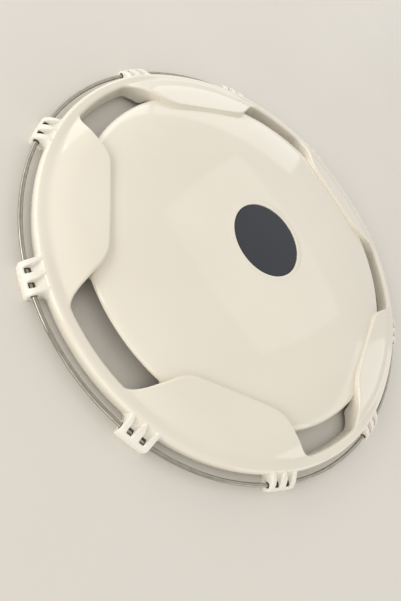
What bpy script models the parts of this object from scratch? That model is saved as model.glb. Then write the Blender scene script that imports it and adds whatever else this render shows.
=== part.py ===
"""A round wheel cover: a thin moulded disc with five vent slots near its rim, and a spring wire
ring that ten clips hold just outside the rim. A round badge fills the middle.

The cover lies face up, on the flat undersides of its clips, with +Z up out of its face. The
origin is on the floor under the centre, and -Y runs through the middle of one vent slot.
Everything repeats every 72 degrees round Z. All lengths are in metres and angles in degrees.
"""
import math

import bmesh
import bpy
from mathutils import Matrix

# --- Retaining ring and its clips -------------------------------------------------------------
RING_R = 0.1900           # centre line of the wire
WIRE_R = 0.0015
WIRE_Z = 0.0060           # centre of the wire above the floor
RING_POINTS = 120
RING_GAP = 0.0030         # between the wire's two ends, hidden inside the first clip

SECTORS = 5
CLIPS = 10
FIRST_SLOT = -90.0        # direction of the first vent slot's middle
FIRST_CLIP = 0.0

CLIP_IN_R = 0.1839        # clip's inner face, just outside the rim
CLIP_OUT_R = 0.1948
CLIP_HALF_W = 0.0117
CLIP_TOP_Z = 0.0110
FIN_W = 0.0060
FIN_PITCH = 0.0100
FIN_ARCH = (0.0072, 0.0068)   # width and height of the fin's outer arch
FIN_ROOT_Z = 0.0105       # top of a fin where it meets the rim
BAR_ARCH = (0.0027, 0.0040)
BAR_TOP_Z = 0.0080
ARCH_STEPS = 4
SOLE_T = 0.0031           # plate under the wire and the rim
WEB_TOP_Z = 0.0082
WEB_FLARE = 0.0042        # how much wider the web is where it meets the rim
TUNNEL_R = 0.0023
TUNNEL_X = 0.1898
WINDOW_X = (0.1876, 0.1921)
BARB_X = (0.1770, 0.1800)
BARB_TOP_Z = 0.0068
OUTER_BAR_X = 0.1921
TUNNEL_SIDES = 12
BARB_SHARE = 0.7          # the barb's width as a share of the clip's
WEB_KNEE = (0.35, 0.3)    # where the web's flare bends: share of its depth and of its flare

# --- Cover: plan of the slots and lobes -------------------------------------------------------
RIM_R = 0.1835
RIM_ROUND = 0.0042        # width of the rounded edge of the rim
RIM_BOTTOM_Z = 0.0035
RIM_DROP = 1.15           # height of that rounding as a share of its width
SLOT_OUT_R = 0.1742       # the outer side of a vent slot
LIP_R = 0.1553            # the inner side of a vent slot
CHORD_R = 0.1361          # a lobe's straight inner edge, from the centre
DIAGONAL_R = 0.0876       # the slanting edge from that chord to the slot, from the centre
DIAGONAL_TURN = 71.2      # direction of that edge's normal, from the slot's middle
SLOT_CORNER = 0.0114      # blends between the three edges
LOBE_CORNER = 0.0076

# --- Cover: heights ---------------------------------------------------------------------------
WALL = 0.0025
DOME_Z = 0.0297
DOME_BOW = 0.0062         # falls of the dome that grow with the 2nd and the 6th power of radius
DOME_FALL = 0.0259
ROLL_R = 0.1492           # the dome starts to roll down to the slot's lip here
LIP_Z = 0.0147
LOBE_Z = 0.0256           # height of a lobe at its chord
LOBE_SLOPE = 0.15
LOBE_BEND = 2.0           # 1/m, how quickly that slope grows outward
BAR_Z = 0.0154            # top of the bar outside a slot
BAR_IN_SLOPE = 0.60
BAR_OUT_SLOPE = 0.0
BAR_BLEND = 0.0038
SLOT_WALL_Z = 0.0042      # lower edge of the wall round a slot
EDGE_ROUND = 0.0008
LIP_TUCK = 0.8            # share of the wall by which the underside draws in at a slot's lip
UNDER_REACH = 0.85        # share of the way to the rim that a lobe's underside runs level with it

# --- Cover: seat of the badge, and the back ---------------------------------------------------
SEAT_R = 0.0340
SEAT_Z = 0.0255
SEAT_HOLE_R = 0.0080
SEAT_LIP_Z = 0.0298
SEAT_LIP_W = 0.0020
DOME_START_R = 0.0375
HUB_RING_R = (0.0560, 0.0578)
HUB_RING_BOTTOM_Z = 0.0190
RIB_R = (0.0567, 0.1290)
RIB_W = 0.0018
RIB_BOTTOM_Z = (0.0210, 0.0160)
RIB_SINK = 0.0008         # how far ribs and hub ring stand into the cover's underside
HUB_RING_SEGMENTS = 60

# --- Badge ------------------------------------------------------------------------------------
BADGE_R = 0.0336
CARRIER_Z = (0.0258, 0.0272)
BOSS_R = 0.0076
BOSS_BORE_R = 0.0052
BOSS_BOTTOM_Z = 0.0165
BARB_R = 0.0086
BARB_Z = (0.0200, 0.0226)
FOAM_R = 0.0325
FOAM_Z = (0.0275, 0.0280)
FACE_Z = (0.0283, 0.0292)
FACE_ROUND = 0.0003
CARRIER_SEGMENTS = 48
FACE_SEGMENTS = 64
MERGE_DISTANCE = 0.00001
SMOOTH_ANGLE = 30.0       # faces that meet at less than this are shaded as one round face

# Directions of the cover's sections in half a sector, closer together round a slot's corner,
# and the steps of each stretch of a section.
SECTION_TURNS = (0.0, 7.0, 10.5, 12.3, 14.0, 15.55, 18.0, 21.0, 26.0, 36.0)
SLOT_END_TURN = 15.5
DOME_RADII = (0.0375, 0.0620, 0.0890, 0.1130, 0.1320)
DOME_END_STEPS = (0.62, 0.86, 1.0)
LOBE_STEPS = (0.0, 0.34, 0.68, 1.0)
EDGE_STEPS = (0.45, 0.80, 1.0)

parts = None
cutters = None


def clear_scene():
    for obj in list(bpy.data.objects):
        bpy.data.objects.remove(obj, do_unlink=True)


def make_collection(name):
    collection = bpy.data.collections.new(name)
    bpy.context.scene.collection.children.link(collection)
    return collection


def make_material(name, color, roughness, metallic=0.0):
    material = bpy.data.materials.new(name)
    material.use_nodes = True
    shader = material.node_tree.nodes["Principled BSDF"]
    shader.inputs["Base Color"].default_value = (*color, 1.0)
    shader.inputs["Roughness"].default_value = roughness
    shader.inputs["Metallic"].default_value = metallic
    return material


def mesh_object(name, bm, material, collection):
    """Turn a bmesh into a named object whose round faces are shaded smooth."""
    bmesh.ops.recalc_face_normals(bm, faces=bm.faces)
    mesh = bpy.data.meshes.new(name)
    bm.to_mesh(mesh)
    bm.free()
    mesh.shade_smooth()
    mesh.set_sharp_from_angle(angle=math.radians(SMOOTH_ANGLE))
    if material:
        mesh.materials.append(material)
    obj = bpy.data.objects.new(name, mesh)
    collection.objects.link(obj)
    return obj


def as_cutter(obj):
    obj.hide_render = True
    obj.display_type = "WIRE"
    return obj


def add_boolean(obj, other, operation):
    modifier = obj.modifiers.new(operation.title(), "BOOLEAN")
    modifier.operation = operation
    modifier.object = other
    modifier.solver = "EXACT"


def add_prism(bm, outline, low, high, to_point):
    """Close a flat outline into a prism; to_point places (u, v, height) in space."""
    bottom = [bm.verts.new(to_point(u, v, low)) for u, v in outline]
    top = [bm.verts.new(to_point(u, v, high)) for u, v in outline]
    bm.faces.new(bottom[::-1])
    bm.faces.new(top)
    for i, start in enumerate(bottom):
        j = (i + 1) % len(bottom)
        bm.faces.new((start, bottom[j], top[j], top[i]))


def box_outline(u_low, u_high, v_low, v_high):
    return ((u_low, v_low), (u_high, v_low), (u_high, v_high), (u_low, v_high))


def plan_point(x, y, z):
    return (x, y, z)


def side_point(x, z, y):
    return (x, y, z)


# --- The cover's shape ------------------------------------------------------------------------
def smooth_min(a, b, blend):
    overlap = max(blend - abs(a - b), 0.0) / blend
    return min(a, b) - overlap * overlap * blend / 4


def smooth_max(a, b, blend):
    return -smooth_min(-a, -b, blend)


def lobe_edge(turn):
    """Radius of the line that runs round the outer side of a slot and along a lobe's inner
    edge, at an angle from the slot's middle (-36 to 36)."""
    turn = abs(turn)
    chord = CHORD_R / math.cos(math.radians(36 - turn))
    diagonal = DIAGONAL_R / math.cos(math.radians(DIAGONAL_TURN - turn))
    return smooth_min(SLOT_OUT_R, smooth_max(chord, diagonal, LOBE_CORNER), SLOT_CORNER)


def dome_height(radius):
    """Height of the middle of the cover, with its edge rolled down to the slots' lips."""
    reach = min(radius, ROLL_R) / RING_R
    height = DOME_Z - DOME_BOW * reach ** 2 - DOME_FALL * reach ** 6
    if radius <= ROLL_R:
        return height
    slope = (2 * DOME_BOW * reach + 6 * DOME_FALL * reach ** 5) / RING_R
    height -= slope * (radius - ROLL_R)
    lip = (radius - ROLL_R) / (LIP_R - ROLL_R)
    rest = height - slope * (LIP_R - radius) - LIP_Z
    return height - rest * (1 - math.sqrt(max(1 - lip * lip, 0.0)))


def lobe_height(radius, turn):
    """Height of the lobes and of the bars outside the slots."""
    out = radius * math.cos(math.radians(36 - abs(turn))) - CHORD_R
    lobe = LOBE_Z - LOBE_SLOPE * out - LOBE_BEND * out * abs(out)
    past = radius - SLOT_OUT_R
    bar = BAR_Z - (BAR_OUT_SLOPE if past > 0 else BAR_IN_SLOPE) * past
    return smooth_min(lobe, bar, BAR_BLEND)


def rim_section(turn):
    """Top and under side of the rounded rim, as pairs of (radius, height)."""
    start = RIM_R - RIM_ROUND
    top = lobe_height(start, turn)
    slope = (lobe_height(start - EDGE_ROUND, turn) - top) / EDGE_ROUND
    drop = min(top - RIM_BOTTOM_Z - EDGE_ROUND, RIM_ROUND * RIM_DROP)
    inside = RIM_R - WALL
    under_top = lobe_height(inside, turn) - WALL
    pairs = []
    for step in EDGE_STEPS:
        along = RIM_ROUND * math.sin(step * math.pi / 2)
        fall = slope * along + (drop - slope * RIM_ROUND) * (1 - math.cos(step * math.pi / 2))
        under = under_top + (RIM_BOTTOM_Z + EDGE_ROUND - under_top) * step
        pairs.append(((start + along, top - fall), (inside, under)))
    pairs.append(((RIM_R, RIM_BOTTOM_Z), (inside, RIM_BOTTOM_Z)))
    return pairs


def lobe_section(turn, is_slot):
    """The wall up from the slot or from the dome, and the lobe out to the rim's rounding."""
    edge = lobe_edge(turn)
    top = lobe_height(edge, turn)
    foot = SLOT_WALL_Z if is_slot else dome_height(edge)
    under_foot = foot if is_slot else foot - WALL
    under_edge = edge + WALL
    pairs = [((edge, foot), (under_edge, under_foot)),
             ((edge, top - EDGE_ROUND), (under_edge, (under_foot + top - WALL) / 2))]
    end = RIM_R - RIM_ROUND
    start = edge + EDGE_ROUND
    for step in LOBE_STEPS:
        radius = start + (end - start) * step
        under = under_edge + (RIM_R - WALL - under_edge) * step * UNDER_REACH
        pairs.append(((radius, lobe_height(radius, turn)),
                      (under, lobe_height(under, turn) - WALL)))
    return pairs + rim_section(turn)


def dome_section(turn, is_slot):
    """The badge's seat and the dome, out to the slot's lip or to the foot of the lobe's step."""
    lip_out = SEAT_R + SEAT_LIP_W
    pairs = [((SEAT_HOLE_R, SEAT_Z), (SEAT_HOLE_R, SEAT_Z - WALL)),
             ((SEAT_R, SEAT_Z), (SEAT_R + WALL, SEAT_Z - WALL)),
             ((SEAT_R, SEAT_LIP_Z), (SEAT_R + WALL, SEAT_Z - WALL / 2)),
             ((lip_out, SEAT_LIP_Z - EDGE_ROUND / 4), (lip_out + WALL / 3, SEAT_Z - EDGE_ROUND / 4))]
    for radius in DOME_RADII:
        height = dome_height(radius)
        pairs.append(((radius, height), (radius + EDGE_ROUND / 4, height - WALL)))
    end = LIP_R if is_slot else lobe_edge(turn)
    for step in DOME_END_STEPS:
        radius = DOME_RADII[-1] + (end - DOME_RADII[-1]) * step
        height = dome_height(radius)
        if is_slot and step == 1.0:
            pairs.append(((radius, height), (radius - WALL, height + EDGE_ROUND / 2)))
        else:
            under = radius - WALL * LIP_TUCK * step ** 4 if is_slot else radius
            pairs.append(((radius, height), (under, min(height, dome_height(under)) - WALL)))
    return pairs


def section_angles():
    """Every section's direction and its angle from the nearest slot's middle."""
    half = list(SECTION_TURNS)
    turns = [-t for t in half[:0:-1]] + half[:-1]
    for sector in range(SECTORS):
        middle = FIRST_SLOT + sector * 360 / SECTORS
        for turn in turns:
            yield middle + turn, turn


def ring_point(direction, radius, height):
    angle = math.radians(direction)
    return (radius * math.cos(angle), radius * math.sin(angle), height)


def pair_verts(bm, direction, pairs):
    return [tuple(bm.verts.new(ring_point(direction, *point)) for point in pair)
            for pair in pairs]


def skin_columns(bm, columns):
    """Faces over, under and at the ends of a sheet that runs right round in columns."""
    for i, column in enumerate(columns):
        after = columns[(i + 1) % len(columns)]
        for row in range(len(column) - 1):
            (a, a_under), (b, b_under) = column[row], column[row + 1]
            (c, c_under), (d, d_under) = after[row], after[row + 1]
            bm.faces.new((a, b, d, c))
            bm.faces.new((a_under, c_under, d_under, b_under))


def close_edge(bm, columns, row):
    """Close a sheet's top and under side together along one row, all the way round."""
    for i, column in enumerate(columns):
        after = columns[(i + 1) % len(columns)]
        ends = (column[row][0], after[row][0], after[row][1], column[row][1])
        bm.faces.new(ends)


def build_cover_sheet(bm):
    inner = []
    outer = []
    for direction, turn in section_angles():
        is_slot = abs(turn) < SLOT_END_TURN
        dome = pair_verts(bm, direction, dome_section(turn, is_slot))
        lobe_pairs = lobe_section(turn, is_slot)
        if is_slot:
            lobe = pair_verts(bm, direction, lobe_pairs)
        else:
            lobe = [dome[-1]] + pair_verts(bm, direction, lobe_pairs[1:])
        inner.append(dome)
        outer.append(lobe)
    skin_columns(bm, inner)
    skin_columns(bm, outer)
    close_edge(bm, inner, 0)
    close_edge(bm, outer, -1)
    close_slots(bm, inner, outer)


def close_slots(bm, inner, outer):
    """Close the dome's lip and the slot's wall wherever the two sheets are apart."""
    count = len(inner)
    for i in range(count):
        j = (i + 1) % count
        apart = inner[i][-1] != outer[i][0] or inner[j][-1] != outer[j][0]
        if not apart:
            continue
        for sheet, row in ((inner, -1), (outer, 0)):
            (a, a_under), (b, b_under) = sheet[i][row], sheet[j][row]
            bm.faces.new((a, b, b_under, a_under))


def hub_ring():
    bm = bmesh.new()
    segments = HUB_RING_SEGMENTS
    rows = []
    for i in range(segments):
        direction = i * 360 / segments
        rows.append([bm.verts.new(ring_point(direction, radius, height)) for radius, height in (
            (HUB_RING_R[0], HUB_RING_BOTTOM_Z), (HUB_RING_R[1], HUB_RING_BOTTOM_Z),
            (HUB_RING_R[1], dome_height(HUB_RING_R[1]) - WALL + RIB_SINK),
            (HUB_RING_R[0], dome_height(HUB_RING_R[0]) - WALL + RIB_SINK))])
    for i, row in enumerate(rows):
        after = rows[(i + 1) % segments]
        for k in range(4):
            bm.faces.new((row[k], row[(k + 1) % 4], after[(k + 1) % 4], after[k]))
    return as_cutter(mesh_object("hub_ring_guide", bm, None, cutters))


def back_ribs():
    """Five ribs behind the dome, from the hub ring out under the middle of each lobe."""
    bm = bmesh.new()
    middle = (RIB_R[0] + RIB_R[1]) / 2
    outline = [(RIB_R[0], RIB_BOTTOM_Z[0]), (RIB_R[1], RIB_BOTTOM_Z[1])]
    outline += [(r, dome_height(r) - WALL + RIB_SINK) for r in (RIB_R[1], middle, RIB_R[0])]
    add_prism(bm, outline, -RIB_W / 2, RIB_W / 2, side_point)
    geometry = bm.verts[:] + bm.edges[:] + bm.faces[:]
    first = FIRST_SLOT + 180 / SECTORS
    bmesh.ops.rotate(bm, verts=bm.verts, matrix=Matrix.Rotation(math.radians(first), 3, "Z"))
    for sector in range(1, SECTORS):
        copy = bmesh.ops.duplicate(bm, geom=geometry)["geom"]
        verts = [v for v in copy if isinstance(v, bmesh.types.BMVert)]
        turn = Matrix.Rotation(math.radians(sector * 360 / SECTORS), 3, "Z")
        bmesh.ops.rotate(bm, verts=verts, matrix=turn)
    return as_cutter(mesh_object("back_ribs_guide", bm, None, cutters))


def build_cover():
    paint = make_material("cream_paint", (0.80, 0.74, 0.62), 0.16)
    bm = bmesh.new()
    build_cover_sheet(bm)
    cover = mesh_object("cover_shell", bm, paint, parts)
    add_boolean(cover, hub_ring(), "UNION")
    add_boolean(cover, back_ribs(), "UNION")


# --- Clips ------------------------------------------------------------------------------------
def arch_outline(size, top):
    """A quarter of an ellipse, from the clip's outer face up to its top."""
    width, height = size
    points = []
    for i in range(ARCH_STEPS + 1):
        angle = math.pi / 2 * i / ARCH_STEPS
        points.append((CLIP_OUT_R - width * (1 - math.cos(angle)),
                       top - height * (1 - math.sin(angle))))
    return points


def fin_outline():
    """Side view of a clip's fin: it arches over the wire and turns down outside it."""
    arch = arch_outline(FIN_ARCH, CLIP_TOP_Z)
    return [(CLIP_IN_R, SOLE_T / 2), (CLIP_OUT_R, SOLE_T / 2)] + arch + [(CLIP_IN_R, FIN_ROOT_Z)]


def bar_outline():
    """Side view of the bar that joins the fins outside the wire."""
    arch = arch_outline(BAR_ARCH, BAR_TOP_Z)
    return [(OUTER_BAR_X, SOLE_T / 2), (CLIP_OUT_R, SOLE_T / 2)] + arch


def web_outline():
    """Plan of the web that meets the rim, wider at the rim on both sides."""
    flare = CLIP_HALF_W + WEB_FLARE
    depth_share, flare_share = WEB_KNEE
    knee = CLIP_HALF_W + WEB_FLARE * flare_share
    outer = WINDOW_X[0]
    middle = CLIP_IN_R + (outer - CLIP_IN_R) * depth_share
    return ((CLIP_IN_R, -flare), (middle, -knee), (outer, -CLIP_HALF_W),
            (outer, CLIP_HALF_W), (middle, knee), (CLIP_IN_R, flare))


def clip_body():
    bm = bmesh.new()
    add_prism(bm, web_outline(), SOLE_T / 2, WEB_TOP_Z, plan_point)
    return mesh_object("ring_clip", bm, None, cutters)


def clip_piece(name, build):
    bm = bmesh.new()
    build(bm)
    return as_cutter(mesh_object(name, bm, None, cutters))


def clip_fins(bm):
    for side in (-1, 0, 1):
        middle = side * FIN_PITCH
        low = max(middle - FIN_W / 2, -CLIP_HALF_W)
        high = min(middle + FIN_W / 2, CLIP_HALF_W)
        add_prism(bm, fin_outline(), low, high, side_point)


def clip_bar(bm):
    add_prism(bm, bar_outline(), -CLIP_HALF_W, CLIP_HALF_W, side_point)


def clip_sole(bm):
    outline = box_outline(BARB_X[0], CLIP_OUT_R, -CLIP_HALF_W, CLIP_HALF_W)
    add_prism(bm, outline, 0.0, SOLE_T, plan_point)


def clip_barb(bm):
    half = CLIP_HALF_W * BARB_SHARE
    add_prism(bm, box_outline(*BARB_X, -half, half), SOLE_T / 2, BARB_TOP_Z, plan_point)


def clip_windows(bm):
    half = (FIN_PITCH - FIN_W) / 2
    for side in (-1, 1):
        middle = side * FIN_PITCH / 2
        outline = box_outline(*WINDOW_X, middle - half, middle + half)
        add_prism(bm, outline, -SOLE_T, CLIP_TOP_Z * 2, plan_point)


def clip_tunnel(bm):
    outline = []
    for i in range(TUNNEL_SIDES):
        angle = 2 * math.pi * (i + 0.5) / TUNNEL_SIDES
        outline.append((TUNNEL_X + TUNNEL_R * math.cos(angle), WIRE_Z + TUNNEL_R * math.sin(angle)))
    add_prism(bm, outline, -CLIP_HALF_W * 2, CLIP_HALF_W * 2, side_point)


def clip_mesh(material):
    """One clip's mesh, at +X: a web, a sole, a barb, three fins and a bar, pierced for the wire."""
    body = clip_body()
    for name, build in (("fins", clip_fins), ("bar", clip_bar), ("sole", clip_sole),
                        ("barb", clip_barb)):
        add_boolean(body, clip_piece(f"clip_{name}_guide", build), "UNION")
    for name, build in (("windows", clip_windows), ("tunnel", clip_tunnel)):
        add_boolean(body, clip_piece(f"clip_{name}_cutter", build), "DIFFERENCE")
    depsgraph = bpy.context.evaluated_depsgraph_get()
    mesh = bpy.data.meshes.new_from_object(body.evaluated_get(depsgraph))
    mesh.name = "ring_clip"
    mesh.materials.clear()
    mesh.materials.append(material)
    for helper in [obj for obj in cutters.objects if obj.name.startswith(("clip_", "ring_clip"))]:
        bpy.data.objects.remove(helper, do_unlink=True)
    return mesh


def build_clips():
    nylon = make_material("cream_nylon", (0.86, 0.82, 0.73), 0.42)
    mesh = clip_mesh(nylon)
    for i in range(CLIPS):
        clip = bpy.data.objects.new(f"ring_clip_{i + 1:02d}", mesh)
        clip.rotation_euler.z = math.radians(FIRST_CLIP + i * 360 / CLIPS)
        parts.objects.link(clip)


# --- Ring -------------------------------------------------------------------------------------
def build_ring():
    """The wire as an open curve whose two ends meet inside the first clip."""
    steel = make_material("spring_steel", (0.56, 0.55, 0.53), 0.30, 1.0)
    curve = bpy.data.curves.new("retaining_ring", "CURVE")
    curve.dimensions = "3D"
    curve.bevel_depth = WIRE_R
    curve.bevel_resolution = 2
    curve.use_fill_caps = True
    spline = curve.splines.new("POLY")
    spline.points.add(RING_POINTS - 1)
    gap = math.degrees(RING_GAP / RING_R)
    for i, point in enumerate(spline.points):
        direction = FIRST_CLIP + gap / 2 + (360 - gap) * i / (RING_POINTS - 1)
        point.co = (*ring_point(direction, RING_R, 0.0), 1.0)
    ring = bpy.data.objects.new("retaining_ring", curve)
    ring.location.z = WIRE_Z
    curve.materials.append(steel)
    parts.objects.link(ring)


# --- Badge ------------------------------------------------------------------------------------
def turned(name, profile, material, segments):
    """A solid turned from an outline that starts and ends on the axis."""
    bm = bmesh.new()
    verts = [bm.verts.new((radius, 0.0, height)) for radius, height in profile]
    for first, second in zip(verts, verts[1:]):
        bm.edges.new((first, second))
    mesh = bpy.data.meshes.new(name)
    bm.to_mesh(mesh)
    bm.free()
    mesh.materials.append(material)
    obj = bpy.data.objects.new(name, mesh)
    parts.objects.link(obj)
    screw = obj.modifiers.new("Turn", "SCREW")
    screw.steps = segments
    screw.render_steps = segments
    screw.use_merge_vertices = True
    screw.merge_threshold = MERGE_DISTANCE
    return obj


def build_badge():
    grey = make_material("carrier_plastic", (0.05, 0.05, 0.055), 0.5)
    foam = make_material("adhesive_foam", (0.75, 0.75, 0.72), 0.9)
    navy = make_material("badge_vinyl", (0.045, 0.052, 0.068), 0.55)
    low, top = CARRIER_Z
    turned("badge_carrier", [
        (0.0, top), (BADGE_R, top), (BADGE_R, low), (BOSS_R, low), (BOSS_R, BARB_Z[1]),
        (BARB_R, BARB_Z[1]), (BARB_R, BARB_Z[1] - EDGE_ROUND), (BOSS_R, BARB_Z[0]),
        (BOSS_R, BOSS_BOTTOM_Z), (BOSS_BORE_R, BOSS_BOTTOM_Z), (BOSS_BORE_R, low), (0.0, low)],
        grey, CARRIER_SEGMENTS)
    turned("badge_adhesive", [
        (0.0, FOAM_Z[1]), (FOAM_R, FOAM_Z[1]), (FOAM_R, FOAM_Z[0]), (0.0, FOAM_Z[0])],
        foam, CARRIER_SEGMENTS)
    turned("badge_face", [
        (0.0, FACE_Z[1]), (BADGE_R - FACE_ROUND, FACE_Z[1]), (BADGE_R, FACE_Z[1] - FACE_ROUND),
        (BADGE_R, FACE_Z[0]), (0.0, FACE_Z[0])], navy, FACE_SEGMENTS)


clear_scene()
parts = make_collection("wheel_cover")
cutters = make_collection("wheel_cover_cutters")
build_cover()
build_clips()
build_ring()
build_badge()
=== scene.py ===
"""Looks of a round wheel cover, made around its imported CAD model.

The cover is rebuilt as one fine skin from the outlines and heights that its CAD solid follows. The
ten ring clips, the wire ring and the badge's face are rebuilt with their roundings. The badge's
carrier and foam keep their CAD shapes. All lengths are in metres and all angles in degrees, unless
a comment says otherwise. The cover lies face up with +Z out of its face, -Y runs through the middle
of one vent slot, and its shape repeats every 72 degrees round Z.
"""
import math

import bmesh
import bpy
from mathutils import Matrix, Vector


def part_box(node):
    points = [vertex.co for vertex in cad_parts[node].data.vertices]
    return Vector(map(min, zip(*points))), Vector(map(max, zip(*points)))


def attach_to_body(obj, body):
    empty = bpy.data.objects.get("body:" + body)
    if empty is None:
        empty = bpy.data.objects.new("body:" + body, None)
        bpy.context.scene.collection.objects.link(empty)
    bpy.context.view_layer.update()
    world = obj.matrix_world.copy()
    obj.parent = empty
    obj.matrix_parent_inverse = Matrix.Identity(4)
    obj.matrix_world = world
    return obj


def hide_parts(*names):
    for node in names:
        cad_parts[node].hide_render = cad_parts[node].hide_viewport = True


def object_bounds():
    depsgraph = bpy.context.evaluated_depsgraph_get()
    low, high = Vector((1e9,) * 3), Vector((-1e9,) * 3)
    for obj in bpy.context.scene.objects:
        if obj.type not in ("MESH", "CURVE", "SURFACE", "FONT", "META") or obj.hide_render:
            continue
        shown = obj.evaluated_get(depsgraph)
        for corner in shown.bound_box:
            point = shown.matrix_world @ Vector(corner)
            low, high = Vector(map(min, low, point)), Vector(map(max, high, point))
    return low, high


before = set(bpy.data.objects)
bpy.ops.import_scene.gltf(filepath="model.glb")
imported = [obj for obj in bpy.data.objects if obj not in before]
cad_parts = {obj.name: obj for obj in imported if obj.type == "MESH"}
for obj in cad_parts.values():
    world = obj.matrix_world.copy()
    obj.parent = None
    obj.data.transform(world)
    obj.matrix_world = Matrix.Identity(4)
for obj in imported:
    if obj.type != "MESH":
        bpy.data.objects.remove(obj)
cad_low, cad_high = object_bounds()
shell_low, shell_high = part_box("cover_shell")
ring_low, ring_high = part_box("retaining_ring")
_, clip_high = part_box("ring_clip_01")
face_low, face_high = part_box("badge_face")

# --- Sizes that the frame gives ---------------------------------------------------------------
RIM_R = shell_high.y
RIM_BOTTOM_Z = shell_low.z
SEAT_LIP_Z = shell_high.z
WIRE_R = (ring_high.z - ring_low.z) / 2
WIRE_Z = (ring_high.z + ring_low.z) / 2
RING_R = ring_high.y - WIRE_R
CLIP_OUT_R = clip_high.x
CLIP_TOP_Z = clip_high.z
BADGE_R = face_high.x
BADGE_TOP_Z = face_high.z
BADGE_BOTTOM_Z = face_low.z

SECTORS = 5
HALF_SECTOR = 180 / SECTORS
CLIPS = 10
FIRST_SLOT = -90.0        # direction of the first vent slot's middle

# --- Cover: plan of the slots and lobes, as in the CAD model ----------------------------------
RIM_ROUND = 0.0042
RIM_DROP = 1.15           # height of the rim's rounding as a share of its width
SLOT_OUT_R = 0.1742       # the outer side of a vent slot
LIP_R = 0.1553            # the inner side of a vent slot
CHORD_R = 0.1361          # a lobe's straight inner edge, from the centre
DIAGONAL_R = 0.0876       # the slanting edge from that chord to the slot, from the centre
DIAGONAL_TURN = 71.2      # direction of that edge's normal, from the slot's middle
SLOT_CORNER = 0.0114      # blends between the three edges
LOBE_CORNER = 0.0076

# --- Cover: heights, as in the CAD model ------------------------------------------------------
WALL = 0.0025
DOME_Z = 0.0297
DOME_BOW = 0.0062         # the dome's fall at RING_R by the 2nd power of radius
DOME_FALL = 0.0259        # and by the 6th
ROLL_R = 0.1492           # the dome starts to roll down to the slot's lip here
LIP_Z = 0.0147
LOBE_Z = 0.0256           # height of a lobe at its chord
LOBE_SLOPE = 0.15         # how steeply it falls outward there
LOBE_BEND = 2.0           # 1/m, how quickly that slope grows outward
BAR_Z = 0.0154            # top of the bar outside a slot, level from there to the rim
BAR_IN_SLOPE = 0.60       # how steeply its surface goes on rising inward
BAR_BLEND = 0.0038        # blend between the bar and the lobes
SLOT_WALL_Z = 0.0042      # lower edge of the wall round a slot

# --- Cover: roundings -------------------------------------------------------------------------
CREST_ROUND = 0.0032      # along the top of a lobe's inner edge
SLOT_CREST_ROUND = 0.0026      # along the top of a slot's outer side
FOOT_ROUND = 0.0020       # along the foot of a lobe's inner edge
SLOT_END_FADE = 2.2       # degrees over which a slot's end passes into the lobe's step
CREST_SHARE = 0.7         # most of a wall's height that the rounding of its crest may take
SKIRT_ROUND = 0.0006      # along the rim's lower edge

# --- Cover: seat of the badge, and the back ---------------------------------------------------
SEAT_R = 0.0340
SEAT_Z = 0.0255
SEAT_HOLE_R = 0.0080
SEAT_LIP_W = 0.0020
SEAT_ROUND = 0.0004
DOME_START_R = 0.0375     # where the seat's lip passes into the dome
HUB_RING_R = (0.0560, 0.0578)
HUB_RING_BOTTOM_Z = 0.0190
RIB_R = (0.0567, 0.1290)       # a rib's inner and outer end
RIB_W = 0.0018
RIB_BOTTOM_Z = (0.0210, 0.0160)     # its lower edge at those two ends
RIB_SINK = 0.0008         # how deep the ribs and the hub ring stand in the dome's wall
BACK_ROUND = 0.0003       # rounding of their lower edges

# --- Cover: the back of the skin; the first three are in wall thicknesses ---------------------
SEAT_BACK = ((0.5, 1.0), (1.0, 0.9), (1.3, 0.2))    # points out from the seat's edge and below it
DOME_BACK_START = 0.8     # the dome's back starts this far outside the seat's lip
LIP_BACK_RISE = 0.2       # in a slot the dome's back ends this far above the lip
DOME_BACK_BEND = 0.35     # height of the corner of its last bend, from the bend's start to its end
LOBE_BACK_BEND = 0.6      # share of a wall's height at which its back starts to bend over

# --- Cover: fineness of the skin --------------------------------------------------------------
COLUMN_TURNS = 44         # columns in half a sector
SLOT_COLUMN_SHARE = 0.6   # share of them that stand in the slot
SLOT_CROWDING = 0.8       # powers that crowd the columns on the two sides of the slot's end
LOBE_CROWDING = 1.4
DOME_ROWS = 34
ROLL_ROWS = 9
ARC_ROWS = 6
LOBE_ROWS = 22
RIM_ROWS = 12
UNDER_ROWS = 20
WALL_ROWS = 4
SMALL_ARC_ROWS = 4        # points of a small rounding
SEAT_FOOT_ROWS = 3
SEAT_OUTER_ROWS = 5
RIB_ROWS = 12
TURN_FOUND = 1e-7         # how closely the angle of the slot's end is found
SAME_TURN = 1e-6          # angles closer than this are one angle
WELD = 2e-6               # points of a skin closer than this are merged

# --- Clips ------------------------------------------------------------------------------------
CLIP_HALF_W = 0.0117
CLIP_FLARE = 0.0034       # how much wider the clip is where it meets the rim, on each side
CLIP_CORNER = 0.0016      # rounding of the outer corners, seen from above
CREST_START_R = 0.1806    # the fins leave the rim's rounding here
WEB_START_R = 0.1821      # the valleys between them leave it here
CREST_BEND = 1.3          # how late a fin's crest bends down; 1 is a parabola
WEB_BEND = 1.3            # how hollow a valley's slope is; 1 is straight
CLIP_FRONT_Z = 0.0042     # height of the clip's outer face
FIN_W = 0.0056
FIN_ROOT_W = 0.0018       # width of a fin where it leaves the rim
FIN_PITCH = 0.0100        # from one fin's middle to the next
FIN_SIDE = 0.0014         # width of a fin's sloping side
FLARE_SLOPE = 0.3         # how steeply the flared sides fall outside the rim
SOLE_T = 0.0031
SOLE_ROUND = 0.0005       # rounding of the sole, the barb and the windows
WEB_TOP_Z = 0.0078        # height of a valley at the inner end of its window
BAR_TOP_Z = 0.0086        # and at the outer end
WINDOW_X = (0.1876, 0.1920)    # the openings between the fins, over the wire
WINDOW_HALF_W = 0.0019
TUNNEL_R = 0.0023         # the hole that the wire runs through
TUNNEL_X = 0.1898
TUNNEL_SIDES = 40
BARB_X = (0.1770, 0.1800)      # the barb stands just inside the rim's wall
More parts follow.
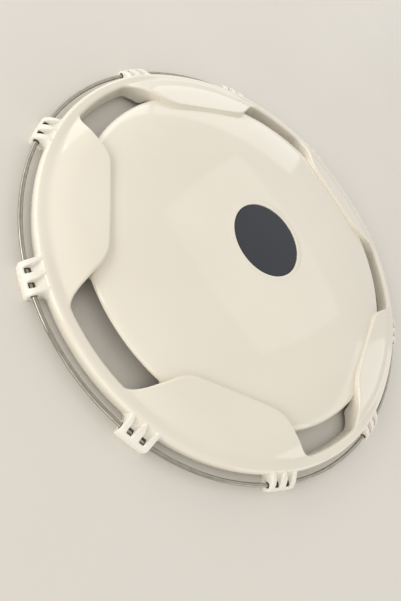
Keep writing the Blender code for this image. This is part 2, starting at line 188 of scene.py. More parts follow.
BARB_TOP_Z = 0.0068
BARB_SHARE = 0.7          # the barb's width as a share of the clip's
CLIP_ROUND = 0.0010       # rounding of the clip's top along its sides
CLIP_SINK = 0.0001        # small step that keeps two faces from lying in one plane
CLIP_STEP = 0.00030       # size of the clip's mesh squares
BOX_ROUND_STEPS = 3       # flats in the rounded edges of the sole, barb and windows
SLIVER = 0.000004         # points of a clip closer than this are merged

# --- Ring and badge ---------------------------------------------------------------------------
RING_GAP = 0.0030         # between the wire's two ends
RING_SECTIONS = 480
RING_SIDES = 20
BADGE_ROUND = 0.0004
BADGE_ARC_ROWS = 5
BADGE_FLAT = (0.25, 0.5, 0.75, 0.95)    # rings of points on its face, as shares of its radius
TURN_SEGMENTS = 128       # flats round the badge and the hub ring

# --- Faces that meet at more than this angle keep a sharp edge --------------------------------
COVER_SHARP = 40.0
CLIP_SHARP = 38.0
RING_SHARP = 60.0
BADGE_SHARP = 30.0
HELPER_SHARP = 180.0

# --- The cover's two materials, by their place in its list ------------------------------------
PAINTED = 0
UNPAINTED = 1

# --- Colours, linear --------------------------------------------------------------------------
CREAM = (0.80, 0.735, 0.61)
CREAM_SHADE = (0.775, 0.705, 0.58)
CREAM_BACK = (0.70, 0.65, 0.55)
CLIP_CREAM = (0.83, 0.78, 0.68)
STEEL = (0.40, 0.375, 0.32)
BADGE_DARK = (0.010, 0.012, 0.018)
BADGE_LIGHT = (0.022, 0.024, 0.031)
CARRIER_BLACK = (0.02, 0.02, 0.022)
FOAM_GREY = (0.62, 0.62, 0.60)
FLOOR_COLOR = (0.735, 0.69, 0.615)

# --- Surfaces ---------------------------------------------------------------------------------
NOISE_LOW = 0.3           # most of a noise texture's values lie between these two
NOISE_HIGH = 0.7
COAT_WEIGHT = 0.5
COAT_ROUGHNESS = 0.05
WIRE_LINES = (30.0, 14.0, 1.0)    # stretch of the pattern along and round the wire
WIRE_BANDS = (60.0, 1.0, 1.0)

# --- Floor, camera and lights -----------------------------------------------------------------
FLOOR_SIZE = 8.0
FLOOR_DROP = 0.0001       # how far the floor lies below the clips
CAMERA_PLACE = (0.01075, -0.27176, 0.25199)
CAMERA_AIM = (0.01215, -0.07956, 0.00600)
CAMERA_ROLL = 56.44
CAMERA_LENS = 24.22       # millimetres, as is the sensor's width
CAMERA_SENSOR = 36.0
CAMERA_SHIFT = (0.0013, 0.0030)
CAMERA_NEAR = 0.01
LIGHT_COLOR = (1.0, 1.0, 0.995)
WORLD_STRENGTH = 0.78
PANEL_AWAY = 2.0          # from the cover's middle
PANEL_SIZE = (1.3, 0.8)
# Each panel: name, direction round Z, height angle, radiance.
PANELS = (
    ("window", 233.0, 16.0, 3.3),
    ("window_right", 280.0, 15.0, 1.6),
    ("window_left", 196.0, 15.0, 1.8),
    ("far_left", 160.0, 15.0, 1.0),
    ("back_left", 120.0, 15.0, 0.56),
    ("back", 90.0, 45.0, 0.40),
    ("back_right", 40.0, 15.0, 0.50),
    ("right", 0.0, 15.0, 0.90),
)


def smooth_min(a, b, blend):
    """The smaller of two numbers, passing smoothly from one to the other where they cross."""
    overlap = max(blend - abs(a - b), 0.0) / blend
    return min(a, b) - overlap * overlap * blend / 4


def smooth_max(a, b, blend):
    """The larger of two numbers, in the same way."""
    return -smooth_min(-a, -b, blend)


def smooth_step(value):
    """0 up to 0 and 1 from 1, with a smooth passage between."""
    value = min(max(value, 0.0), 1.0)
    return value * value * (3 - 2 * value)


def mix(a, b, share):
    """The number that lies share of the way from a to b."""
    return a + (b - a) * share


def mix_point(a, b, share):
    """The point of two coordinates that lies share of the way from a to b."""
    return (mix(a[0], b[0], share), mix(a[1], b[1], share))


def shares(count):
    """count numbers from 0 to 1, evenly spaced."""
    return [i / (count - 1) for i in range(count)]


def directions(count):
    """count directions round Z, evenly spaced from 0."""
    return [i * 360 / count for i in range(count)]


def ring_point(direction, radius, height):
    """The point at a direction round Z, a radius and a height."""
    angle = math.radians(direction)
    return (radius * math.cos(angle), radius * math.sin(angle), height)


# --- The cover's surfaces ---------------------------------------------------------------------
def lobe_edge(turn):
    """Radius of the line that runs round the outer side of a slot and along a lobe's inner
    edge, at an angle from the slot's middle (-36 to 36)."""
    turn = abs(turn)
    chord = CHORD_R / math.cos(math.radians(HALF_SECTOR - turn))
    diagonal = DIAGONAL_R / math.cos(math.radians(DIAGONAL_TURN - turn))
    return smooth_min(SLOT_OUT_R, smooth_max(chord, diagonal, LOBE_CORNER), SLOT_CORNER)


def slot_end_turn():
    """Angle from a slot's middle to its end, where the lobe's edge meets the slot's lip."""
    low, high = 0.0, HALF_SECTOR
    while high - low > TURN_FOUND:
        middle = (low + high) / 2
        if lobe_edge(middle) > LIP_R:
            low = middle
        else:
            high = middle
    return low


SLOT_END = slot_end_turn()


def dome_height(radius):
    """Height of the middle of the cover, with its edge rolled down to the slots' lips."""
    reach = min(radius, ROLL_R) / RING_R
    height = DOME_Z - DOME_BOW * reach ** 2 - DOME_FALL * reach ** 6
    if radius <= ROLL_R:
        return height
    slope = (2 * DOME_BOW * reach + 6 * DOME_FALL * reach ** 5) / RING_R
    height -= slope * (radius - ROLL_R)
    lip = (radius - ROLL_R) / (LIP_R - ROLL_R)
    rest = height - slope * (LIP_R - radius) - LIP_Z
    return height - rest * (1 - math.sqrt(max(1 - lip * lip, 0.0)))


def lobe_height(radius, turn):
    """Height of the lobes and of the bars outside the slots."""
    out = radius * math.cos(math.radians(HALF_SECTOR - abs(turn))) - CHORD_R
    lobe = LOBE_Z - LOBE_SLOPE * out - LOBE_BEND * out * abs(out)
    bar = BAR_Z + BAR_IN_SLOPE * max(SLOT_OUT_R - radius, 0.0)
    return smooth_min(lobe, bar, BAR_BLEND)


def slot_share(turn):
    """0 on a lobe's step, 1 well inside a slot, with a smooth passage at the slot's end."""
    return smooth_step((SLOT_END - abs(turn)) / SLOT_END_FADE)


def step_share(turn):
    """0 in a slot, 1 where the lobe's step stands on the dome at its full rounding."""
    return smooth_step((abs(turn) - SLOT_END) / SLOT_END_FADE)


def arc(start, corner, end, count):
    """Points of a rounded corner: a quadratic curve from start to end, drawn to the corner."""
    return [mix_point(mix_point(start, corner, share), mix_point(corner, end, share), share)
            for share in shares(count)]


def seat_rows():
    """The badge's seat and the low lip round it, as points of (radius, height)."""
    floor = [(SEAT_HOLE_R, SEAT_Z), ((SEAT_HOLE_R + SEAT_R) / 2, SEAT_Z)]
    foot = arc((SEAT_R - SEAT_ROUND, SEAT_Z), (SEAT_R, SEAT_Z), (SEAT_R, SEAT_Z + SEAT_ROUND),
               SEAT_FOOT_ROWS)
    top = SEAT_LIP_Z
    inner = arc((SEAT_R, top - SEAT_ROUND), (SEAT_R, top), (SEAT_R + SEAT_ROUND, top),
                SMALL_ARC_ROWS)
    outer_r = SEAT_R + SEAT_LIP_W
    outer = arc((outer_r - SEAT_ROUND * 2, top), (outer_r, top),
                (DOME_START_R, dome_height(DOME_START_R)), SEAT_OUTER_ROWS)
    return floor + foot + inner + outer


def dome_rows(turn):
    """Top of the dome from the badge's seat out to a slot's lip or to the foot of a lobe."""
    is_step = abs(turn) > SLOT_END
    edge = lobe_edge(turn) if is_step else LIP_R
    foot = FOOT_ROUND * step_share(turn)
    end = edge - foot
    bend = min(ROLL_R, end - foot)
    rows = seat_rows()
    for share in shares(DOME_ROWS)[1:]:
        radius = mix(DOME_START_R, bend, share)
        rows.append((radius, dome_height(radius)))
    for share in shares(ROLL_ROWS)[1:]:
        radius = mix(bend, end, math.sin(share * math.pi / 2))
        rows.append((radius, dome_height(radius)))
    if is_step:
        height = dome_height(edge)
        rows += arc(rows[-1], (edge, height), (edge, height + foot), ARC_ROWS)[1:]
    else:
        rows += [rows[-1]] * (ARC_ROWS - 1)
    return rows


def lobe_rows(turn, foot):
    """Top of a lobe or bar: its wall up from foot, its rounded crest, and out to the rim."""
    edge = lobe_edge(turn)
    crest = mix(CREST_ROUND, SLOT_CREST_ROUND, slot_share(turn))
    top = lobe_height(edge, turn)
    crest = min(crest, (top - foot[1]) * CREST_SHARE)
    rows = [mix_point(foot, (edge, top - crest), share) for share in shares(WALL_ROWS)]
    crest_end = (edge + crest, lobe_height(edge + crest, turn))
    rows += arc(rows[-1], (edge, top), crest_end, ARC_ROWS)[1:]
    end = RIM_R - RIM_ROUND
    for share in shares(LOBE_ROWS)[1:]:
        radius = mix(edge + crest, end, share)
        rows.append((radius, lobe_height(radius, turn)))
    return rows + rim_rows(turn)


def rim_rows(turn):
    """The rounded rim, from the lobe's top down to its lower edge."""
    start = RIM_R - RIM_ROUND
    top = lobe_height(start, turn)
    nearby = start - RIM_ROUND / 4
    slope = (lobe_height(nearby, turn) - top) / (start - nearby)
    drop = min(top - RIM_BOTTOM_Z - SKIRT_ROUND * 2, RIM_ROUND * RIM_DROP)
    rows = []
    for share in shares(RIM_ROWS)[1:]:
        angle = share * math.pi / 2
        along = RIM_ROUND * math.sin(angle)
        fall = slope * along + (drop - slope * RIM_ROUND) * (1 - math.cos(angle))
        rows.append((start + along, top - fall))
    skirt = (RIM_R, RIM_BOTTOM_Z + SKIRT_ROUND)
    rows.append((RIM_R, (rows[-1][1] + skirt[1]) / 2))
    rows += arc(skirt, (RIM_R, RIM_BOTTOM_Z), (RIM_R - SKIRT_ROUND, RIM_BOTTOM_Z), SMALL_ARC_ROWS)
    return rows


def dome_under_rows(end):
    """Underside of the dome from the badge's hole out to the point where it ends."""
    rows = [(SEAT_HOLE_R, SEAT_Z - WALL)]
    rows += [(SEAT_R + WALL * out, SEAT_Z - WALL * below) for out, below in SEAT_BACK]
    reach = min(end[0], ROLL_R - WALL)
    for share in shares(UNDER_ROWS):
        radius = mix(DOME_START_R + WALL * DOME_BACK_START, reach, share)
        rows.append((radius, dome_height(radius) - WALL))
    bend = (end[0], mix(rows[-1][1], end[1], DOME_BACK_BEND))
    rows += arc(rows[-1], bend, end, ARC_ROWS)[1:]
    return rows


def lobe_under_rows(turn, foot):
    """Underside of a lobe or bar, from the foot of its wall out to the rim's lower edge."""
    edge = lobe_edge(turn) + WALL
    top = lobe_height(edge, turn) - WALL
    wall_top = (edge, mix(foot[1], top, LOBE_BACK_BEND))
    rows = [mix_point(foot, wall_top, share) for share in shares(WALL_ROWS)]
    start = edge + WALL / 2
    rows += arc(wall_top, (edge, top), (start, lobe_height(start, turn) - WALL), ARC_ROWS)[1:]
    inside = RIM_R - WALL
    for share in shares(UNDER_ROWS)[1:]:
        radius = mix(start, inside - WALL / 2, share)
        rows.append((radius, lobe_height(radius, turn) - WALL))
    corner = (inside, lobe_height(inside, turn) - WALL)
    rows += arc(rows[-1], corner, (inside, (corner[1] + RIM_BOTTOM_Z) / 2), ARC_ROWS)[1:]
    rows.append((inside, RIM_BOTTOM_Z))
    return rows


def section(turn):
    """The four rows of points of the cover's section: dome, its underside, lobe, its underside."""
    dome = dome_rows(turn)
    lip = dome[-1]
    share = slot_share(turn)
    if abs(turn) >= SLOT_END:
        foot = lip
        dome_end = (lip[0], dome_height(lobe_edge(turn)) - WALL)
        lobe_foot = dome_end
    else:
        foot = (lobe_edge(turn), mix(LIP_Z, SLOT_WALL_Z, share))
        dome_end = (LIP_R - WALL * share,
                    mix(LIP_Z - WALL, LIP_Z + WALL * LIP_BACK_RISE, share))
        lobe_foot = (lobe_edge(turn) + WALL * share, mix(LIP_Z - WALL, SLOT_WALL_Z, share))
    return (dome, dome_under_rows(dome_end),
            lobe_rows(turn, foot), lobe_under_rows(turn, lobe_foot))


def column_turns():
    """Angles of the columns in half a sector, with one exactly at the slot's end."""
    slot_count = round(COLUMN_TURNS * SLOT_COLUMN_SHARE)
    lobe_count = COLUMN_TURNS - slot_count
    turns = [SLOT_END * math.sin(share * math.pi / 2) ** SLOT_CROWDING
             for share in shares(slot_count)]
    for share in shares(lobe_count + 1)[1:]:
        turns.append(mix(SLOT_END, HALF_SECTOR, share ** LOBE_CROWDING))
    return turns


def skin_between(bm, first, second, is_under):
    """Faces between two neighbouring columns of points."""
    for corners in zip(first, first[1:], second[1:], second):
        face = bm.faces.new(corners[::-1] if is_under else corners)
        face.material_index = UNPAINTED if is_under else PAINTED


def bridge(bm, edge_a, edge_b):
    """A face that closes the skin between two sheets."""
    face = bm.faces.new((edge_a[0], edge_b[0], edge_b[1], edge_a[1]))
    face.material_index = UNPAINTED


def cover_columns(bm):
    """The columns of points right round the cover, each with whether it stands in a slot."""
    half = column_turns()
    turns = [-turn for turn in half[:0:-1]] + half[:-1]
    columns = []
    for direction in directions(SECTORS):
        middle = FIRST_SLOT + direction
        for turn in turns:
            rows = [[bm.verts.new(ring_point(middle + turn, *point)) for point in points]
                    for points in section(turn)]
            columns.append((abs(turn) <= SLOT_END + SAME_TURN, rows))
    return columns


def cover_skin():
    """The whole cover as one closed skin between its columns."""
    bm = bmesh.new()
    columns = cover_columns(bm)
    for i, (in_slot, rows) in enumerate(columns):
        next_in_slot, after = columns[(i + 1) % len(columns)]
        dome, dome_under, lobe, lobe_under = rows
        dome_b, dome_under_b, lobe_b, lobe_under_b = after
        skin_between(bm, dome, dome_b, False)
        skin_between(bm, dome_under, dome_under_b, True)
        skin_between(bm, lobe, lobe_b, False)
        skin_between(bm, lobe_under, lobe_under_b, True)
        bridge(bm, (dome_under[0], dome[0]), (dome_under_b[0], dome_b[0]))
        bridge(bm, (lobe[-1], lobe_under[-1]), (lobe_b[-1], lobe_under_b[-1]))
        if in_slot and next_in_slot:
            bridge(bm, (dome[-1], dome_under[-1]), (dome_b[-1], dome_under_b[-1]))
            bridge(bm, (lobe_under[0], lobe[0]), (lobe_under_b[0], lobe_b[0]))
    bmesh.ops.remove_doubles(bm, verts=bm.verts, dist=WELD)
    bmesh.ops.recalc_face_normals(bm, faces=bm.faces)
    return bm


def turned_loops(bm, profile):
    """The profile's points, repeated at even steps round Z."""
    return [[bm.verts.new(ring_point(direction, *point)) for point in profile]
            for direction in directions(TURN_SEGMENTS)]


def add_hub_ring(bm):
    """A low ring on the back of the dome, round the badge's boss."""
    inner, outer = HUB_RING_R
    low = HUB_RING_BOTTOM_Z
    profile = [(inner, dome_height(inner) - WALL + RIB_SINK), (inner, low + BACK_ROUND)]
    profile += arc((inner, low + BACK_ROUND), (inner, low), (inner + BACK_ROUND, low),
                   SMALL_ARC_ROWS)[1:]
    profile += arc((outer - BACK_ROUND, low), (outer, low), (outer, low + BACK_ROUND),
                   SMALL_ARC_ROWS)
    profile.append((outer, dome_height(outer) - WALL + RIB_SINK))
    loops = turned_loops(bm, profile)
    for loop, after in zip(loops, loops[1:] + loops[:1]):
        for k in range(len(profile)):
            n = (k + 1) % len(profile)
            face = bm.faces.new((loop[k], loop[n], after[n], after[k]))
            face.material_index = UNPAINTED


def add_rib(bm, direction):
    """A thin rib on the back of the dome, lower at its outer end, with a rounded edge."""
    half = RIB_W / 2
    edge = [(-half, BACK_ROUND), (-half + BACK_ROUND, 0.0),
            (half - BACK_ROUND, 0.0), (half, BACK_ROUND)]
    turn = Matrix.Rotation(math.radians(direction), 3, "Z")
    loops = []
    for share in shares(RIB_ROWS):
        radius = mix(*RIB_R, share)
        low = mix(*RIB_BOTTOM_Z, share)
        top = dome_height(radius) - WALL + RIB_SINK
        points = [(radius, y, low + up) for y, up in edge]
        points += [(radius, half, top), (radius, -half, top)]
        loops.append([bm.verts.new(turn @ Vector(point)) for point in points])
    count = len(loops[0])
    for first, second in zip(loops, loops[1:]):
        for k in range(count):
            n = (k + 1) % count
            bm.faces.new((first[k], second[k], second[n], first[n])).material_index = UNPAINTED
    bm.faces.new(loops[0]).material_index = UNPAINTED
    bm.faces.new(loops[-1][::-1]).material_index = UNPAINTED


def mesh_piece(name, bm, materials, sharp_angle):
    """Turn a bmesh into a linked object with smooth round faces."""
    mesh = bpy.data.meshes.new(name)
    bm.to_mesh(mesh)
    bm.free()
    for material in materials:
        mesh.materials.append(material)
    mesh.shade_smooth()
    mesh.set_sharp_from_angle(angle=math.radians(sharp_angle))
    obj = bpy.data.objects.new(name, mesh)
    bpy.context.scene.collection.objects.link(obj)
    return obj


def attach(obj, node, body="cover"):
    """Tie a piece to the body it moves with, and hide the CAD node it takes the place of."""
    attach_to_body(obj, body)
    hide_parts(node)


def build_cover(face_paint, back_plastic):
    """The moulded cover: its skin, and the hub ring and five ribs on its back."""
    bm = cover_skin()
    add_hub_ring(bm)
    for direction in directions(SECTORS):
        add_rib(bm, FIRST_SLOT + HALF_SECTOR + direction)
    bmesh.ops.recalc_face_normals(bm, faces=bm.faces)
    cover = mesh_piece("moulded_cover", bm, [face_paint, back_plastic], COVER_SHARP)
    attach(cover, "cover_shell")


# --- Clips ------------------------------------------------------------------------------------
def rim_height(radius, aside):
    """Height of the rim's rounding at a clip, on its lower side, towards the nearest lobe."""
    turn = HALF_SECTOR / 2 + math.degrees(abs(aside) / radius)
    start = RIM_R - RIM_ROUND
    top = lobe_height(min(radius, start), turn)
    along = min(max(radius - start, 0.0) / RIM_ROUND, 1.0)
    return top - RIM_ROUND * RIM_DROP * (1 - math.sqrt(1 - along * along))


def clip_crest(x, y):
    """Side view of a fin's crest: off the rim and over the wire, ever steeper to its front."""
    root_z = rim_height(CREST_START_R, y) - CLIP_SINK
    reach = (x - CREST_START_R) / (CLIP_OUT_R - CREST_START_R)
    bend = math.sqrt(max(1 - max(reach, 0.0) ** CREST_BEND, 0.0))
    return mix(CLIP_FRONT_Z, root_z, bend)


def clip_valley(x, y):
    """Side view of the valley between two fins: a hollow slope down to the windows, then out
    over the bar."""
    if x >= WINDOW_X[1]:
        out = (x - WINDOW_X[1]) / (CLIP_OUT_R - WINDOW_X[1])
        return mix(CLIP_FRONT_Z, BAR_TOP_Z, math.sqrt(max(1 - out * out, 0.0)))
    left = (WINDOW_X[0] - x) / (WINDOW_X[0] - WEB_START_R)
    if left <= 0.0:
        return mix(BAR_TOP_Z, WEB_TOP_Z, (WINDOW_X[1] - x) / (WINDOW_X[1] - WINDOW_X[0]))
    return mix(WEB_TOP_Z, rim_height(WEB_START_R, y), min(left, 1.0) ** WEB_BEND)


def fin_share(x, y):
    """1 on top of a fin and 0 in a valley. A fin grows wider from its root on the rim."""
    if abs(y) >= FIN_PITCH:
        return 1.0
    grown = smooth_step((x - CREST_START_R) / (WINDOW_X[0] - CREST_START_R))
    width = mix(FIN_ROOT_W, FIN_W, grown)
    nearest = min(abs(y), FIN_PITCH - abs(y))
    return smooth_step((width / 2 + FIN_SIDE / 2 - nearest) / FIN_SIDE)


def clip_half_width(x):
    """Half the clip's width. It flares in a hollow curve at the rim; the outer corners are
    round."""
    to_front = (x - (CLIP_OUT_R - CLIP_CORNER)) / CLIP_CORNER
    if to_front > 0:
        return CLIP_HALF_W - CLIP_CORNER * (1 - math.sqrt(max(1 - to_front * to_front, 0.0)))
    out = min(max((x - RIM_R) / (WINDOW_X[0] - RIM_R), 0.0), 1.0)
    return CLIP_HALF_W + CLIP_FLARE * (1 - math.sqrt(1 - (1 - out) ** 2))


def flare_height(x, y):
    """Height of the clip's flared sides: just under the rim's surface, then gently down."""
    return rim_height(x, y) - CLIP_SINK * 2 - FLARE_SLOPE * max(x - RIM_R, 0.0)


def clip_surface(x, y):
    """Height of the clip's top over a point, rounded off towards its sides."""
    valley = clip_valley(x, y)
    body = mix(valley, max(clip_crest(x, y), valley), fin_share(x, y))
    aside = smooth_step((abs(y) - CLIP_HALF_W + CLIP_ROUND) / CLIP_FLARE)
    height = mix(body, min(flare_height(x, y), body), aside)
    away = 1 - min((clip_half_width(x) - abs(y)) / CLIP_ROUND, 1.0)
    return height - CLIP_ROUND * (1 - math.sqrt(max(1 - away * away, 0.0)))


def clip_stations(low, high):
    """Places from low to high, about one CLIP_STEP apart."""
    count = round((high - low) / CLIP_STEP)
    return [mix(low, high, i / count) for i in range(count + 1)]


def clip_grid(bm, height_at):
    """Rows of vertices across the clip, each from one side to the other, bent round the rim."""
    grid = []
    inner_share = FIN_PITCH / 2 / CLIP_HALF_W
    for x in clip_stations(CREST_START_R, CLIP_OUT_R):
        widen = clip_half_width(x) / CLIP_HALF_W
        row = []
        for y in clip_stations(-CLIP_HALF_W, CLIP_HALF_W):
            aside = max(abs(y) / CLIP_HALF_W - inner_share, 0.0) / (1 - inner_share)
            place = y * mix(1.0, widen, aside)
            point = ring_point(math.degrees(place / x), x, height_at(x, place))
            row.append(bm.verts.new(point))
        grid.append(row)
    return grid


def clip_foot(_x, y):
    """Height of the clip's underside: on the floor, and just above the rim's edge at the
    flares. It is the same at every x."""
    return (RIM_BOTTOM_Z + SOLE_ROUND) * smooth_step((abs(y) - CLIP_HALF_W) / CLIP_ROUND)


def grid_faces(bm, grid, flip):
    """A face in each square of a grid of vertices."""
    for row, after in zip(grid, grid[1:]):
        for corners in zip(row, after, after[1:], row[1:]):
            bm.faces.new(corners[::-1] if flip else corners)


def grid_outline(grid):
    """The grid's outer points in order, once round."""
    right = [row[-1] for row in grid[1:]]
    left = [row[0] for row in grid[-2:0:-1]]
    return grid[0] + right + grid[-1][-2::-1] + left


def clip_solid():
    """The clip's body: its top, its underside, and the walls between them."""
    bm = bmesh.new()
    top = clip_grid(bm, clip_surface)
    foot = clip_grid(bm, clip_foot)
    grid_faces(bm, top, False)
    grid_faces(bm, foot, True)
    upper = grid_outline(top)
    lower = grid_outline(foot)
    for i, vert in enumerate(upper):
        n = (i + 1) % len(upper)
        bm.faces.new((vert, upper[n], lower[n], lower[i]))
    bmesh.ops.recalc_face_normals(bm, faces=bm.faces)
    return mesh_piece("clip_solid", bm, [], HELPER_SHARP)


def helper_box(name, low, high):
    """A box between two corners, with rounded edges."""
    bm = bmesh.new()
    bmesh.ops.create_cube(bm, size=1.0)
    low, high = Vector(low), Vector(high)
    size = high - low
    bmesh.ops.scale(bm, vec=size, verts=bm.verts)
    bmesh.ops.translate(bm, vec=(low + high) / 2, verts=bm.verts)
    bmesh.ops.bevel(bm, geom=bm.edges[:], offset=SOLE_ROUND, segments=BOX_ROUND_STEPS,
                    profile=0.5, affect="EDGES")
    return mesh_piece(name, bm, [], HELPER_SHARP)


def helper_tunnel():
    """A rod that is longer than the clip is wide, where the wire runs through it."""
    bm = bmesh.new()
    across = Matrix.Rotation(math.pi / 2, 4, "X")
    place = Matrix.Translation((TUNNEL_X, 0.0, WIRE_Z)) @ across
    bmesh.ops.create_cone(bm, cap_ends=True, segments=TUNNEL_SIDES, radius1=TUNNEL_R,
                          radius2=TUNNEL_R, depth=CLIP_HALF_W * 4, matrix=place)
    return mesh_piece("clip_tunnel", bm, [], HELPER_SHARP)


def helper_window(side):
    """The opening between the middle fin and the one beside it, which shows the wire."""
    middle = side * FIN_PITCH / 2
    return helper_box("clip_window", (WINDOW_X[0], middle - WINDOW_HALF_W, -SOLE_T),
                      (WINDOW_X[1], middle + WINDOW_HALF_W, CLIP_TOP_Z * 2))


def clip_helpers():
    """What is joined to the clip's body or cut out of it, in this order."""
    sole = CLIP_HALF_W - SOLE_ROUND
    barb = CLIP_HALF_W * BARB_SHARE
    sole_box = helper_box("clip_sole", (BARB_X[0], -sole, CLIP_SINK), (RIM_R + WALL, sole, SOLE_T))
    barb_box = helper_box("clip_barb", (BARB_X[0] + CLIP_SINK, -barb, SOLE_T / 2),
                          (BARB_X[1], barb, BARB_TOP_Z))
    return [(sole_box, "UNION"), (barb_box, "UNION"), (helper_tunnel(), "DIFFERENCE"),
            (helper_window(-1), "DIFFERENCE"), (helper_window(1), "DIFFERENCE")]


def combine(obj, helper, operation):
    """Join a helper to an object or cut it out, with a Boolean modifier."""
    modifier = obj.modifiers.new(operation.title(), "BOOLEAN")
    modifier.operation = operation
    modifier.object = helper
    modifier.solver = "EXACT"


def merge_slivers(mesh):
    """Remove the hair-thin faces that the Booleans leave."""
    bm = bmesh.new()
    bm.from_mesh(mesh)
    bmesh.ops.remove_doubles(bm, verts=bm.verts, dist=SLIVER)
    bmesh.ops.dissolve_degenerate(bm, dist=SLIVER, edges=bm.edges)
    bm.to_mesh(mesh)
    bm.free()


def clip_mesh(material):
    """One clip's mesh, at +X: its moulded body, sole and barb, pierced for the wire."""
    body = clip_solid()
    helpers = clip_helpers()
    for helper, operation in helpers:
        combine(body, helper, operation)
    depsgraph = bpy.context.evaluated_depsgraph_get()
    mesh = bpy.data.meshes.new_from_object(body.evaluated_get(depsgraph))
    for obj in [body] + [helper for helper, _ in helpers]:
        bpy.data.objects.remove(obj)
    mesh.name = "moulded_clip"
    merge_slivers(mesh)
    mesh.materials.clear()
    mesh.materials.append(material)
    mesh.shade_smooth()
    mesh.set_sharp_from_angle(angle=math.radians(CLIP_SHARP))
    return mesh


def build_clips(nylon):
    """All the clips, from one mesh that is turned to each clip's place."""
    mesh = clip_mesh(nylon)
    for number, direction in enumerate(directions(CLIPS), start=1):
        clip = bpy.data.objects.new(f"moulded_clip_{number:02d}", mesh)
        bpy.context.scene.collection.objects.link(clip)
        clip.rotation_euler.z = math.radians(direction)
        attach(clip, f"ring_clip_{number:02d}")


# --- Wire ring --------------------------------------------------------------------------------
def wire_loops(bm):
    """Loops of points round the wire, from one of its ends to the other."""
    gap = math.degrees(RING_GAP / RING_R)
    loops = []
    for i in range(RING_SECTIONS + 1):
        direction = gap / 2 + (360 - gap) * i / RING_SECTIONS
        loop = []
        for k in range(RING_SIDES):
            angle = 2 * math.pi * k / RING_SIDES
            point = (RING_R + WIRE_R * math.cos(angle), WIRE_Z + WIRE_R * math.sin(angle))
            loop.append(bm.verts.new(ring_point(direction, *point)))
        loops.append(loop)
    return loops


def build_ring(steel):
    """The wire as a fine tube. Its UV map runs along and round the wire, for the drawing lines."""
    bm = bmesh.new()
    uv = bm.loops.layers.uv.new("along_and_round")
    loops = wire_loops(bm)
    for i, (loop, after) in enumerate(zip(loops, loops[1:])):
        for k in range(RING_SIDES):
            n = (k + 1) % RING_SIDES
            face = bm.faces.new((loop[k], after[k], after[n], loop[n]))
            steps = ((i, k), (i + 1, k), (i + 1, k + 1), (i, k + 1))
            for corner, (along, round_step) in zip(face.loops, steps):
                corner[uv].uv = (along / RING_SECTIONS, round_step / RING_SIDES)
    bm.faces.new(loops[0])
    bm.faces.new(loops[-1][::-1])
    bmesh.ops.recalc_face_normals(bm, faces=bm.faces)
    ring = mesh_piece("wire_ring", bm, [steel], RING_SHARP)
    attach(ring, "retaining_ring", "ring")


# --- Badge ------------------------------------------------------------------------------------
def turned_piece(name, profile, material):
    """A solid turned from an outline that starts and ends on the axis."""
    bm = bmesh.new()
    loops = turned_loops(bm, profile)
    for loop, after in zip(loops, loops[1:] + loops[:1]):
        for corners in zip(loop, after, after[1:], loop[1:]):
            bm.faces.new(corners)
    bmesh.ops.remove_doubles(bm, verts=bm.verts, dist=WELD)
    bmesh.ops.recalc_face_normals(bm, faces=bm.faces)
    return mesh_piece(name, bm, [material], BADGE_SHARP)


def build_badge(vinyl):
    """The badge's thin disc, flat with a rounded upper edge."""
    low, top = BADGE_BOTTOM_Z, BADGE_TOP_Z
    edge = arc((BADGE_R - BADGE_ROUND, top), (BADGE_R, top), (BADGE_R, top - BADGE_ROUND),
               BADGE_ARC_ROWS)
    flat = [(0.0, top)] + [(BADGE_R * share, top) for share in BADGE_FLAT]
    profile = flat + edge + [(BADGE_R, low), (BADGE_R / 2, low), (0.0, low)]
    badge = turned_piece("badge_disc", profile, vinyl)
    attach(badge, "badge_face")


# --- Materials --------------------------------------------------------------------------------
def darker(color, share):
    """The colour with each of its parts multiplied by share, which is below 1."""
    return [part * share for part in color]


def new_material(name, color, roughness, metallic=0.0):
    """A material with its node tree and its shader."""
    material = bpy.data.materials.new(name)
    material.use_nodes = True
    shader = material.node_tree.nodes["Principled BSDF"]
    shader.inputs["Base Color"].default_value = (*color, 1.0)
    shader.inputs["Roughness"].default_value = roughness
    shader.inputs["Metallic"].default_value = metallic
    return material, material.node_tree, shader


def noise(tree, vector, scale, detail=3.0, roughness=0.5):
    """A noise texture's value; a larger scale makes a finer pattern."""
    node = tree.nodes.new("ShaderNodeTexNoise")
    node.inputs["Scale"].default_value = scale
    node.inputs["Detail"].default_value = detail
    node.inputs["Roughness"].default_value = roughness
    tree.links.new(vector, node.inputs["Vector"])
    return node.outputs["Fac"]


def object_place(tree):
    """The place on the piece, in metres, as the vector that drives its patterns."""
    return tree.nodes.new("ShaderNodeTexCoord").outputs["Object"]


def stretched(tree, vector, scale):
    """The vector multiplied by scale, axis by axis."""
    node = tree.nodes.new("ShaderNodeMapping")
    node.inputs["Scale"].default_value = scale
    tree.links.new(vector, node.inputs["Vector"])
    return node.outputs["Vector"]


def color_from(tree, shader, value, first, second, start=NOISE_LOW, end=NOISE_HIGH):
    """Let a noise value choose the shader's colour, from first at start to second at end."""
    node = tree.nodes.new("ShaderNodeValToRGB")
    stops = ((start, first), (end, second))
    for element, (place, color) in zip(node.color_ramp.elements, stops):
        element.position = place
        element.color = (*color, 1.0)
    tree.links.new(value, node.inputs["Fac"])
    tree.links.new(node.outputs["Color"], shader.inputs["Base Color"])


def roughness_from(tree, shader, value, low, high):
    """Let a noise value choose the shader's roughness, between low and high."""
    node = tree.nodes.new("ShaderNodeMapRange")
    node.inputs["From Min"].default_value = NOISE_LOW
    node.inputs["From Max"].default_value = NOISE_HIGH
    node.inputs["To Min"].default_value = low
    node.inputs["To Max"].default_value = high
    tree.links.new(value, node.inputs["Value"])
    tree.links.new(node.outputs["Result"], shader.inputs["Roughness"])


